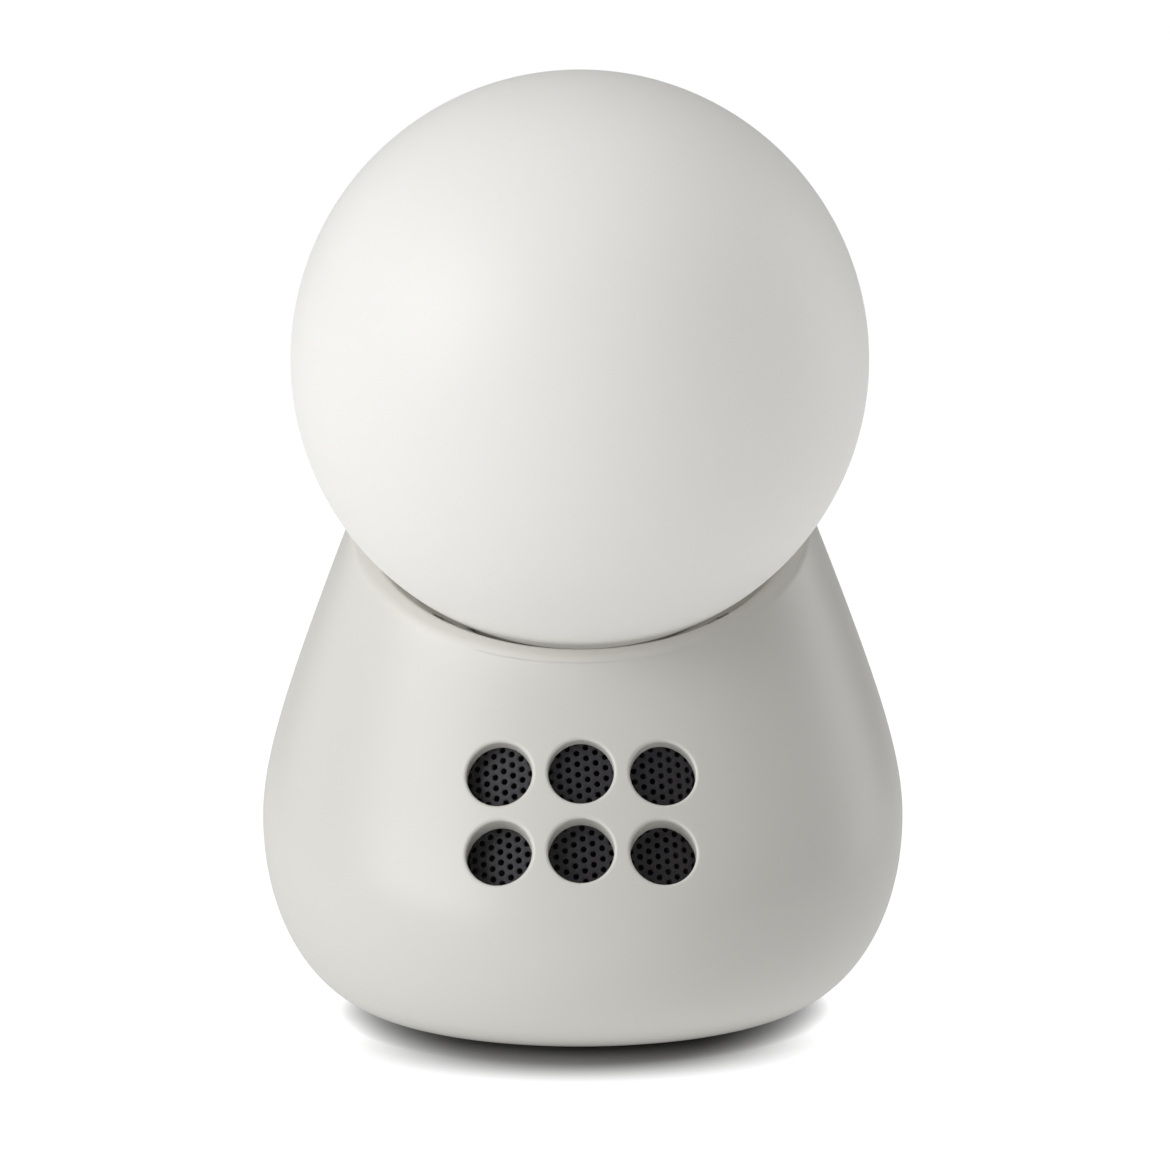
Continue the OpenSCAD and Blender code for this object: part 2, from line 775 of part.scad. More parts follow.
module mic_boot() {
    color("#202224") on_panel() translate([mic_x, port_row, 0])
        tube(2.4, 0.8, -panel_t - board_gap + 1.1, -panel_t);
}

// USB-C receptacle: a steel sleeve with a contact tongue
module usb_inlet() {
    low = -panel_t - board_gap;
    color("#aeb1b5") on_panel() translate([port_x, port_row, 0]) {
        difference() {
            plate([port_w, port_h], port_h / 2 - 0.01, low, -0.5);
            plate([port_w - 0.6, port_h - 0.6], port_h / 2 - 0.31, low + 1.6, past);
        }
        block([6.6, 0.7], low + 1.5, -1.6);
    }
}

module status_light() {
    color("#eef3f5") on_panel() translate([light_x, port_row, 0])
        disc(1, -panel_t - board_gap + 0.8, 0);
}

// ---- Base ----
module main_board() {
    color("#2f6b46") on_body() difference() {
        disc(main_r, main_z, main_z + board_t);
        for (a = screw_angles) rotate([0, 0, a]) translate([post_ring_r, 0, 0])
            disc(screw_r + hole_gap, main_z - past, main_z + board_t + past);
    }
}

module shield_can() {
    color("#c3c6c9") on_body() translate([-8, 6, 0])
        plate([22, 18], 1.5, main_z + board_t, main_z + board_t + 3);
}

module board_parts() {
    top = main_z + board_t;
    color("#38393d") on_body() {
        for (i = [-1 : 1]) translate([i * 9, -13, 0]) block([7, 5], top, top + 6);
        for (y = [-2, 8]) translate([14, y, 0]) disc(4, top, top + 9);
        translate([-9, 21, 0]) block([9, 7], top, top + 4);
    }
}

module base_plate() {
    top = foot_gap + base_t;
    color("#cfcec8") on_body() {
        difference() {
            disc(base_r, foot_gap, top);
            tube(foot_r + fit_gap, foot_r - foot_w - fit_gap, foot_gap - past, foot_gap + foot_groove);
            for (a = screw_angles) rotate([0, 0, a]) translate([base_screw_r, 0, 0]) {
                disc(screw_r + hole_gap, 0, top + past);
                disc(head_r + fit_gap, 0, foot_gap + foot_groove + head_h + fit_gap);
            }
        }
        for (a = screw_angles) rotate([0, 0, a]) translate([post_ring_r, 0, 0])
            disc(post_r, top - 0.5, main_z);
    }
}

module base_screws() {
    color("silver") on_body() for (a = screw_angles) rotate([0, 0, a])
        translate([base_screw_r, 0, foot_gap + foot_groove + head_h + fit_gap])
            mirror([0, 0, 1]) screw(6);
}

module foot_ring() {
    color("#6f6f6c") on_body() tube(foot_r, foot_r - foot_w, 0, foot_gap + foot_groove);
}

// ---- Cables inside the body, point to point ----
module led_cable() {
    drop = socket_low - plate_t;
    start = [0, seat_y0 - led_board_r / 2 * cos(seat_tilt) - drop * sin(seat_tilt),
        seat_z0 - led_board_r / 2 * sin(seat_tilt) + drop * cos(seat_tilt)];
    end = [0, -13, main_z + board_t + 6.1];
    color("#e6e6e6") on_body()
        wire([start, start - 16 * [0, -sin(seat_tilt), cos(seat_tilt)], end + [0, 0, 26], end], wire_r);
}

module speaker_cable() {
    end = [9, -13, main_z + board_t + 6.1];
    color("#a33a34") on_body()
        wire([[9, -24, 28], [9, -17, 24], [9, -13, 24], end], wire_r);
}

module control_cable() {
    back = panel_y - panel_t - board_gap - board_t;
    end = [-9, -13, main_z + board_t + 6.1];
    color("#35507a") on_body()
        wire([[-9, back - 0.1, panel_z - 8], [-9, back - 20, panel_z - 8], end + [0, 0, 26], end],
            wire_r);
}

globe_diffuser();
globe_neck();
body_shell();
seat_collar();
seat_screws();
light_plate();
led_board();
leds();
light_reflector();
grille_mesh();
grille_frame();
grille_screws();
driver_gasket();
driver_basket();
top_plate();
magnet_ring();
pole_yoke();
spider();
voice_coil();
speaker_cone();
dust_cap();
cone_surround();
rear_panel();
panel_screws();
volume_down_button();
play_button();
light_button();
volume_up_button();
mic_switch();
control_board();
tact_switches();
slide_switch();
microphone();
mic_boot();
usb_inlet();
status_light();
main_board();
shield_can();
board_parts();
base_plate();
base_screws();
foot_ring();
led_cable();
speaker_cable();
control_cable();
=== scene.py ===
import json
import math

import bmesh
import bpy
import numpy as np
from mathutils import Matrix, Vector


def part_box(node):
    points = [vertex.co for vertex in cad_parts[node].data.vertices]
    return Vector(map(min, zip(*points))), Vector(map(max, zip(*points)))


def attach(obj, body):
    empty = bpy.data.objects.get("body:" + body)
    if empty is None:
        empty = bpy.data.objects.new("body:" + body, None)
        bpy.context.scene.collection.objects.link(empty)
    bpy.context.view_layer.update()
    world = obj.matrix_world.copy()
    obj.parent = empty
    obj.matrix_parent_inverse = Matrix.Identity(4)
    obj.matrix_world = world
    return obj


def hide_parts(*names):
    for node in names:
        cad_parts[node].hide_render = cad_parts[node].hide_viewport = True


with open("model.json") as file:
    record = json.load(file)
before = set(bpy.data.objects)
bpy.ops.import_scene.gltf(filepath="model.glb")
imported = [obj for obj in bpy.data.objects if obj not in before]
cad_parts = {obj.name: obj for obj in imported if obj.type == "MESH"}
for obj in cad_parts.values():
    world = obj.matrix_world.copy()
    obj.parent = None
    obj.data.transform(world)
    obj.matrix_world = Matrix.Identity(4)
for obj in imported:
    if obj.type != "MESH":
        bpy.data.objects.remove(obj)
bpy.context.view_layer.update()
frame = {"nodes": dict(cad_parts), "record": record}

nodes = frame["nodes"]
mm = 0.001  # shapes are worked out in mm and written in metres
print("stage: frame loaded")


# sRGB hex to linear colour
def linear(code):
    rgb = [int(code[i:i + 2], 16) / 255 for i in (1, 3, 5)]
    return [c / 12.92 if c <= 0.04045 else ((c + 0.055) / 1.055) ** 2.4 for c in rgb] + [1]


# adds one node; settings are its attributes or its inputs' values, links are input: output socket
def addNode(tree, kind, settings=None, links=None):
    node = tree.nodes.new(kind)
    for key, value in (settings or {}).items():
        if isinstance(key, str) and hasattr(node, key):
            setattr(node, key, value)
        else:
            node.inputs[key].default_value = value
    for key, socket in (links or {}).items():
        tree.links.new(socket, node.inputs[key])
    return node


# lowest corner, highest corner and middle of a CAD node, in mm
def boxOf(name):
    low, high = (np.array(c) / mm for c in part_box(name))
    return low, high, (low + high) / 2


# material with its tree, its shader and the piece's own coordinates
def newMaterial(name):
    material = bpy.data.materials.new(name)
    material.use_nodes = True
    tree = material.node_tree
    shader = tree.nodes["Principled BSDF"]
    place = addNode(tree, "ShaderNodeTexCoord").outputs["Object"]
    return material, tree, shader, place


# fine two-scale grain: colour drifts slowly, roughness and bump follow a grain of a real size
def grained(name, code, rough, metal=0.0, grain=0.4, drift=25.0, shade=0.04, bump=0.05, stretch=None,
            **sockets):
    material, tree, shader, place = newMaterial(name)
    if stretch:
        place = addNode(tree, "ShaderNodeMapping", {"Scale": stretch}, {"Vector": place}).outputs[0]
    slow = addNode(tree, "ShaderNodeTexNoise", {"Scale": 1 / (drift * mm), "Detail": 2.0},
                   {"Vector": place})
    fine = addNode(tree, "ShaderNodeTexNoise", {"Scale": 1 / (grain * mm), "Detail": 3.0},
                   {"Vector": place})
    dark = [c * (1 - shade) for c in linear(code)[:3]] + [1]
    light = [min(1, c * (1 + shade)) for c in linear(code)[:3]] + [1]
    colour = addNode(tree, "ShaderNodeMix", {"data_type": "RGBA", 6: dark, 7: light},
                     {0: slow.outputs["Fac"]})
    tree.links.new(colour.outputs[2], shader.inputs["Base Color"])
    range_ = addNode(tree, "ShaderNodeMapRange", {"To Min": rough * 0.88, "To Max": min(1, rough * 1.12)},
                     {"Value": fine.outputs["Fac"]})
    tree.links.new(range_.outputs[0], shader.inputs["Roughness"])
    relief = addNode(tree, "ShaderNodeBump", {"Strength": 1.0, "Distance": bump * mm},
                     {"Height": fine.outputs["Fac"]})
    tree.links.new(relief.outputs[0], shader.inputs["Normal"])
    shader.inputs["Metallic"].default_value = metal
    for socket, value in sockets.items():
        shader.inputs[socket.replace("_", " ")].default_value = value
    return material


# satin-painted polycarbonate/ABS shell: an even warm white with a soft broad sheen and faint orange peel
shellPaint = grained("satinPaintedAbs", "#dedcd6", 0.40, grain=0.9, drift=40, shade=0.012, bump=0.004,
                     IOR=1.5, Coat_Weight=0.12, Coat_Roughness=0.3)
# opal acrylic with a frosted skin: milky, light sinks in a few mm, and the highlight is a wide blur; a faint
# even painted glow stands in for light that the shell spreads round
opal = grained("frostedOpalAcrylicPaintedGlow", "#dfdedb", 0.50, grain=0.5, drift=50, shade=0.008, bump=0.003,
               IOR=1.49, Subsurface_Weight=0.4, Subsurface_Scale=0.012,
               Subsurface_Radius=(1.0, 0.95, 0.85), Emission_Color=linear("#fffefa"),
               Emission_Strength=0.14)
# punched steel, powder-coated black: soft gloss that catches on the edges of the holes
punchedSteel = grained("blackPowderCoatedSteel", "#343236", 0.50, metal=0.0, grain=0.15, drift=12,
                       shade=0.10, bump=0.02, IOR=1.5, Specular_IOR_Level=0.35)

finishes = {
    "globe_neck_plastic": dict(name="mouldedWhitePolycarbonate", code="#e4e4e0", rough=0.35),
    "collar_plastic": dict(name="mouldedWhiteAbs", code="#dcdad3", rough=0.45, grain=0.6),
    "screw_steel": dict(name="zincPlatedScrewSteel", code="#b9bbbd", rough=0.3, metal=1.0, bump=0.02),
    "plate_aluminium": dict(name="turnedAluminium", code="#c5c8ca", rough=0.34, metal=1.0, bump=0.03),
    "led_board_mask": dict(name="whiteSolderMask", code="#f1f1ec", rough=0.3, bump=0.02),
    "led_package": dict(name="yellowLedPhosphor", code="#f0d67c", rough=0.5, bump=0.03),
    "reflector_plastic": dict(name="whiteReflectorPolycarbonate", code="#f6f6f4", rough=0.4),
    "frame_plastic": dict(name="blackGlassFilledNylon", code="#3a3a3c", rough=0.6, bump=0.06),
    "gasket_foam": dict(name="blackEvaFoam", code="#262626", rough=0.95, grain=0.5, bump=0.15),
    "basket_steel": dict(name="blackPressedSteel", code="#1f2022", rough=0.45, bump=0.02),
    "magnet_steel": dict(name="zincPlatedMagnetSteel", code="#8d9094", rough=0.38, metal=1.0, bump=0.03),
    "ferrite": dict(name="sinteredFerrite", code="#39393c", rough=0.7, grain=0.3, bump=0.08),
    "spider_cloth": dict(name="phenolicCottonCloth", code="#b98b3d", rough=0.9, grain=0.5, bump=0.15),
    "coil_copper": dict(name="enamelledCopperWire", code="#b0662e", rough=0.3, metal=1.0,
                        stretch=(1, 1, 6), bump=0.05),
    "cone_paper": dict(name="blackPaperPulp", code="#2b2b2d", rough=0.85, grain=0.35, bump=0.12),
    "surround_rubber": dict(name="butylRubber", code="#1b1b1d", rough=0.6, bump=0.03),
    "panel_plastic": dict(name="mouldedGreyWhiteAbs", code="#cfcdc6", rough=0.5, grain=0.35, bump=0.03),
    "button_plastic": dict(name="mouldedButtonAbs", code="#bbb9b2", rough=0.42, grain=0.35, bump=0.02),
    "switch_plastic": dict(name="mouldedRustRedAbs", code="#8c3a32", rough=0.45, grain=0.35, bump=0.02),
    "board_mask": dict(name="greenSolderMask", code="#245a3a", rough=0.3, shade=0.15, drift=4.0),
    "switch_housing": dict(name="blackSwitchNylon", code="#303236", rough=0.55),
    "plated_steel": dict(name="nickelPlatedSteel", code="#aeb1b5", rough=0.28, metal=1.0, bump=0.02),
    "boot_rubber": dict(name="blackSiliconeRubber", code="#202224", rough=0.7),
    "light_pipe": dict(name="clearAcrylicPipe", code="#eef3f5", rough=0.15),
    "component_plastic": dict(name="blackMouldedEpoxy", code="#2f3034", rough=0.6),
    "base_plastic": dict(name="mouldedBaseAbs", code="#cbc9c2", rough=0.55, grain=0.4, bump=0.05),
    "foot_silicone": dict(name="greySiliconeRubber", code="#6f6f6c", rough=0.75, grain=0.4, bump=0.04),
    "led_wire": dict(name="whitePvcWire", code="#e2e2e0", rough=0.4),
    "speaker_wire": dict(name="redPvcWire", code="#a33a34", rough=0.4),
    "control_wire": dict(name="bluePvcWire", code="#35507a", rough=0.4),
}
materials = {slot: grained(**values) for slot, values in finishes.items()}
materials.update(body_plastic=shellPaint, opal=opal, mesh_steel=punchedSteel)
print("stage: materials made")


# faces of a grid of rows x columns of points, numbered row by row from start; a closed side joins its ends
def gridFaces(rows, columns, closeRows=False, closeColumns=False, start=0):
    i = np.arange(rows if closeRows else rows - 1)[:, None]
    j = np.arange(columns if closeColumns else columns - 1)[None, :]
    nextRow, nextColumn = (i + 1) % rows, (j + 1) % columns
    corners = [i * columns + j, i * columns + nextColumn, nextRow * columns + nextColumn,
               nextRow * columns + j]
    return start + np.stack(np.broadcast_arrays(*corners), -1)


# points in mm and faces to an object at the origin, with its doubles merged, its faces outwards and its
# edges sharp where they turn by more than an angle
def makePiece(name, points, faces, slot, body, replaced=(), sharp=40, weld=0.0004, bridge=False):
    mesh = bpy.data.meshes.new(name)
    mesh.from_pydata((np.asarray(points) * mm).tolist(), [], [list(f) for f in faces])
    work = bmesh.new()
    work.from_mesh(mesh)
    bmesh.ops.remove_doubles(work, verts=work.verts, dist=weld * mm)
    if bridge:
        bmesh.ops.bridge_loops(work, edges=[e for e in work.edges if e.is_boundary])
    bmesh.ops.recalc_face_normals(work, faces=work.faces)
    work.to_mesh(mesh)
    work.free()
    return finishPiece(name, mesh, slot, body, replaced, sharp)


# smooth shading with sharp edges, one material, and the body, slot and CAD nodes that it stands for
def finishPiece(name, mesh, slot, body, replaced, sharp):
    mesh.shade_smooth()
    mesh.set_sharp_from_angle(angle=math.radians(sharp))
    mesh.materials.clear()
    mesh.materials.append(materials[slot])
    piece = bpy.data.objects.new(name, mesh)
    bpy.context.scene.collection.objects.link(piece)
    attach(piece, body)
    if replaced:
        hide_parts(*replaced)
    return piece


# a profile of (radius, height) points turned round a frame's axis
def turned(profile, frameOf, columns):
    profile = np.asarray(profile, float)
    angle = np.linspace(0, 2 * np.pi, columns, endpoint=False)
    ring = np.stack([np.cos(angle), np.sin(angle)], -1)
    local = np.concatenate([profile[:, None, :1] * ring[None], np.broadcast_to(
        profile[:, None, 1:], (len(profile), columns, 1))], -1)
    return toWorld(local.reshape(-1, 3), frameOf)


# a frame is (origin, x axis, y axis, z axis), in mm
def toWorld(points, frameOf):
    return frameOf[0] + points @ np.array(frameOf[1:])


# a frame turned about the x axis, so that its z axis leans back from the front by the angle
def tiltedFrame(origin, angle):
    a = math.radians(angle)
    return (np.array(origin, float), np.array([1.0, 0, 0]), np.array([0, math.cos(a), math.sin(a)]),
            np.array([0, -math.sin(a), math.cos(a)]))


# corner rounded off between three points, as a quadratic curve that is tangent to both sides
def rounding(start, corner, end, steps):
    t = np.linspace(0, 1, steps + 1).reshape(-1, *([1] * np.ndim(start)))
    return (1 - t) ** 2 * start + 2 * t * (1 - t) * corner + t ** 2 * end


form = dict(
    widest=68.5, belly=42.9, low=1.2, flat=40.25,  # radius at the belly, its height, underside
    rim=48.9, rimHeight=105.1, tilt=28.0, bend=3.4,  # seat rim radius and height, seat tilt, flank
    seatHeight=104.4, seatRise=1.6,  # middle of the rim, and the seat's own zero above it
    lowShare=0.46, wall=2.6, floor=7.0, innerEnd=0.985,  # belly's share of the grid, inner wall
    rimRound=1.0, mouthRound=0.8, mouthDrop=0.52,  # edges of the rim
    dish=61.1, well=43.4, ledge=-9.56, ledgeThick=2.4, hole=38.6, ledgeOut=44.5,  # seat's inside
    recess=39.05, recessTop=4.6, opening=32.85, footEase=0.3,  # underside
)
grille = dict(hole=13.4, pitch=16.6, height=53.5, tilt=26.5, sheetTilt=20.0, depth=5.2, sheet=0.8,
              edge=0.75, perforation=1.2, spacing=2.2, turn=4.0, radius=60.85, halfWidth=23.7,
              halfHeight=16.0, columns=14, rows=9, side=12)
alcove = dict(width=40.4, height=26.4, corner=6.2, edge=1.0, middle=55.0, depth=7.5, plug=2.4,
              margin=6.0)
globe = dict(radius=60.0, wall=2.2, neckIn=30.8, neckOut=33.0,  # neck's radii at the opening
             rise=40.3286, columns=160, outside=90, inside=60)  # middle above the seat; points
seatTilt = math.radians(form["tilt"])
axisY = boxOf("foot_ring")[2][1]
seatOrigin = np.array([0, axisY - form["seatRise"] * math.sin(seatTilt),
                       form["seatHeight"] + form["seatRise"] * math.cos(seatTilt)])
seat = tiltedFrame(seatOrigin, form["tilt"])
rimPlane = (form["rimHeight"] - seatOrigin[2]) / math.cos(seatTilt)


# height and radius of the section at a share s of the way up: an elliptic quarter up to the belly, then
# a flank that bends in and runs nearly straight; inset is the wall, and floor the lowest height
def section(s, inset=0.0, low=None):
    low = form["low"] if low is None else low
    a = np.clip(s / form["lowShare"], 0, 1) * np.pi / 2
    v = np.clip((s - form["lowShare"]) / (1 - form["lowShare"]), 0, None)
    flank = (np.sqrt(1 + (form["bend"] * v) ** 2) - 1) / (math.sqrt(1 + form["bend"] ** 2) - 1)
    under = s <= form["lowShare"]
    z = np.where(under, form["belly"] - (form["belly"] - low) * np.cos(a),
                 form["belly"] + (form["rimHeight"] - form["belly"]) * v)
    r = np.where(under, form["flat"] + (form["widest"] - inset - form["flat"]) * np.sin(a),
                 form["widest"] - inset - (form["widest"] - form["rim"]) * flank)
    return z, r


# a circle of that radius, tilted in step with its height
def bodyPoint(phi, s, inset=0.0, low=None):
    z, r = section(s, inset, low)
    t = np.radians(form["tilt"]) * np.maximum(0, (z - form["low"]) / (form["rimHeight"] - form["low"]))
    return np.stack([r * np.cos(phi), axisY + r * np.sin(phi) * np.cos(t),
                     z + r * np.sin(phi) * np.sin(t)], -1)


# where a line along a frame's z axis through its point (x, y) meets the body: Newton's steps on (phi, s)
def ontoBody(x, y, frameOf, phi, s):
    phi = np.full(x.shape, float(phi))
    s = np.full(x.shape, float(s))
    axes = np.array(frameOf[1:3])

    def place(p, q):
        return (bodyPoint(p, q) - frameOf[0]) @ axes.T

    step = 1e-5
    for _ in range(12):
        here = place(phi, s)
        dp = (place(phi + step, s) - here) / step
        ds = (place(phi, s + step) - here) / step
        gap = np.stack([x, y], -1) - here
        det = dp[..., 0] * ds[..., 1] - dp[..., 1] * ds[..., 0]
        phi = phi + (gap[..., 0] * ds[..., 1] - gap[..., 1] * ds[..., 0]) / det
        s = s + (dp[..., 0] * gap[..., 1] - dp[..., 1] * gap[..., 0]) / det
    return phi, s


grilleZ = grille["height"]
# the front point of the body at the grille's height gives the holes' frame
search = np.linspace(form["lowShare"], 1, 4001)
frontLine = bodyPoint(np.full(search.shape, -np.pi / 2), search)
grilleY = np.interp(grilleZ, frontLine[:, 2], frontLine[:, 1])
boreFrame = tiltedFrame([0, grilleY, grilleZ], 90 - grille["tilt"])
sheetRadius = grille["radius"]
boreTilt = math.radians(grille["tilt"])
sheetFrame = tiltedFrame([0, grilleY + grille["depth"] * math.cos(boreTilt),
                          grilleZ - grille["depth"] * math.sin(boreTilt)], 90 - grille["sheetTilt"])
panelFrame = (np.array([0, axisY + form["widest"] - alcove["depth"], alcove["middle"]]),
              np.array([1.0, 0, 0]), np.array([0, 0, 1.0]), np.array([0, 1.0, 0]))


# point at (x, y) in the holes' frame, carried along their axis to the curved sheet's outer face
def ontoSheet(x, y, lift=0.05):
    zs = np.sqrt((sheetRadius + lift) ** 2 - x ** 2) - sheetRadius
    base = boreFrame[0] + y[..., None] * boreFrame[2] - sheetFrame[0]
    z = (zs - base @ sheetFrame[3]) / (boreFrame[3] @ sheetFrame[3])
    return toWorld(np.stack([x, y, z], -1), boreFrame)


# point at (x, y) in the panel's frame, on the flat pad that the panel sits against
def ontoPad(x, y):
    return toWorld(np.stack([x, y, np.full(x.shape, -alcove["plug"])], -1), panelFrame)


# a patch of (phi, s) between four edges, each point the sum of the edges' blends less the corners'
def patch(bottom, top, left, right):
    u = np.linspace(0, 1, len(bottom))[None, :, None]
    v = np.linspace(0, 1, len(left))[:, None, None]
    corners = ((1 - v) * ((1 - u) * bottom[0] + u * bottom[-1]) + v * ((1 - u) * top[0] + u * top[-1]))
    return ((1 - v) * bottom[None] + v * top[None] + (1 - u) * left[:, None] + u * right[:, None]
            - corners)


# evenly spaced points from a to b
def line(a, b, count):
    return np.linspace(a, b, count + 1)


# one half of the body's grid of (phi, s), with a window whose edges follow a rectangle in a frame
def halfGrid(phiStart, half, frameOf, sizes, counts, guess, seam=(0.42, 0.72)):
    w, h = sizes
    nSide, nLow, nHigh, nx, ny = counts
    xs, ys = line(-w / 2, w / 2, nx), line(-h / 2, h / 2, ny)

    def edge(x, y):
        return np.stack(ontoBody(np.asarray(x, float), np.asarray(y, float), frameOf, *guess), -1)

    bottom, top = edge(xs, np.full(nx + 1, -h / 2)), edge(xs, np.full(nx + 1, h / 2))
    left, right = edge(np.full(ny + 1, -w / 2), ys), edge(np.full(ny + 1, w / 2), ys)
    if right[0, 0] < left[0, 0]:  # seen from behind, the frame's x runs against phi
        bottom, top, left, right = bottom[::-1], top[::-1], right, left
    phiEnd = phiStart + half
    lowL, lowR = np.array([bottom[0, 0], 0]), np.array([bottom[-1, 0], 0])
    highL, highR = np.array([top[0, 0], 1]), np.array([top[-1, 0], 1])
    seamL = [np.array([phiStart, v]) for v in (0, *seam, 1)]
    seamR = [np.array([phiEnd, v]) for v in (0, *seam, 1)]
    grid = np.zeros((nLow + ny + nHigh + 1, 2 * nSide + nx + 1, 2))
    rows = [slice(0, nLow + 1), slice(nLow, nLow + ny + 1), slice(nLow + ny, None)]
    columns = [slice(0, nSide + 1), slice(nSide, nSide + nx + 1), slice(nSide + nx, None)]
    ends = {
        0: (line(seamL[0], lowL, nSide), line(seamL[1], bottom[0], nSide),
            line(seamL[0], seamL[1], nLow), line(lowL, bottom[0], nLow)),
        1: (line(lowL, lowR, nx), bottom, line(lowL, bottom[0], nLow), line(lowR, bottom[-1], nLow)),
        2: (line(lowR, seamR[0], nSide), line(bottom[-1], seamR[1], nSide),
            line(lowR, bottom[-1], nLow), line(seamR[0], seamR[1], nLow)),
        3: (line(seamL[1], bottom[0], nSide), line(seamL[2], top[0], nSide),
            line(seamL[1], seamL[2], ny), left),
        4: (bottom, top, left, right),
        5: (line(bottom[-1], seamR[1], nSide), line(top[-1], seamR[2], nSide), right,
            line(seamR[1], seamR[2], ny)),
        6: (line(seamL[2], top[0], nSide), line(seamL[3], highL, nSide),
            line(seamL[2], seamL[3], nHigh), line(top[0], highL, nHigh)),
        7: (top, line(highL, highR, nx), line(top[0], highL, nHigh), line(top[-1], highR, nHigh)),
        8: (line(top[-1], seamR[2], nSide), line(highR, seamR[3], nSide), line(top[-1], highR, nHigh),
            line(seamR[2], seamR[3], nHigh)),
    }
    for k, edges in ends.items():
        grid[rows[k // 3], columns[k % 3]] = patch(*edges)
    inside = np.zeros(grid.shape[:2], bool)
    inside[rows[1], columns[1]] = True
    return grid, inside


# a rectangle's outline and a rounded shape's outline with as many points, then rings between the two,
# over the shape's rounded edge, down its wall and back over the inside
def windowCell(frameOf, rect, shape, edgeSize, inner, guess, rings):
    t = np.linspace(0, 1, rings + 1)[:, None, None] ** 0.8
    wide = shape(edgeSize)
    flat = (1 - t) * rect + t * wide
    a = np.linspace(0, np.pi / 2, 8)[1:]
    over = np.stack([shape(edgeSize * (1 - math.sin(v))) for v in a])
    xy = np.concatenate([flat, over])
    depth = np.concatenate([np.zeros(len(flat)), edgeSize * (1 - np.cos(a))])
    phi, s = ontoBody(xy[..., 0], xy[..., 1], frameOf, *guess)
    surface = bodyPoint(phi, s) - depth[:, None, None] * frameOf[3]
    end = inner(over[-1][:, 0], over[-1][:, 1])
    wall = np.linspace(surface[-1], end, 5)[1:]
    back = flat[::-4] if rings % 4 == 0 else flat[::-1]
    behind = inner(back[..., 0], back[..., 1])
    return np.concatenate([surface, wall, behind])


# outline points of a rectangle, counterclockwise from its lower left corner
def rectangle(w, h, nx, ny, centre=(0, 0)):
    x, y = line(-w / 2, w / 2, nx)[:-1], line(-h / 2, h / 2, ny)[:-1]
    outline = np.concatenate([
        np.stack([x, np.full(nx, -h / 2)], -1), np.stack([np.full(ny, w / 2), y], -1),
        np.stack([-x, np.full(nx, h / 2)], -1), np.stack([np.full(ny, -w / 2), -y], -1)])
    return outline + np.array(centre)


# circle of a radius and how far it has grown, its points spread as a rectangle's sides are
def circleShape(radius, nx, ny, centre):
    starts, spans = np.radians([-135, -45, 45, 135]), np.pi / 2
    angle = np.concatenate([a + spans * np.arange(n) / n for a, n in zip(starts, (nx, ny, nx, ny))])
    return lambda grow: np.array(centre) + (radius + grow) * np.stack([np.cos(angle), np.sin(angle)], -1)


# rounded rectangle: the plain rectangle's points, each pushed to lie a corner's radius from the nearest
# point of the smaller rectangle between the corners' middles
def roundedShape(w, h, corner, nx, ny):
    def shape(grow):
        core = np.array([w / 2 - corner, h / 2 - corner])
        outline = rectangle(w, h, nx, ny)
        near = np.clip(outline, -core, core)
        away = outline - near
        return near + (corner + grow) * away / np.maximum(np.linalg.norm(away, axis=-1), 1e-9)[:, None]
    return shape


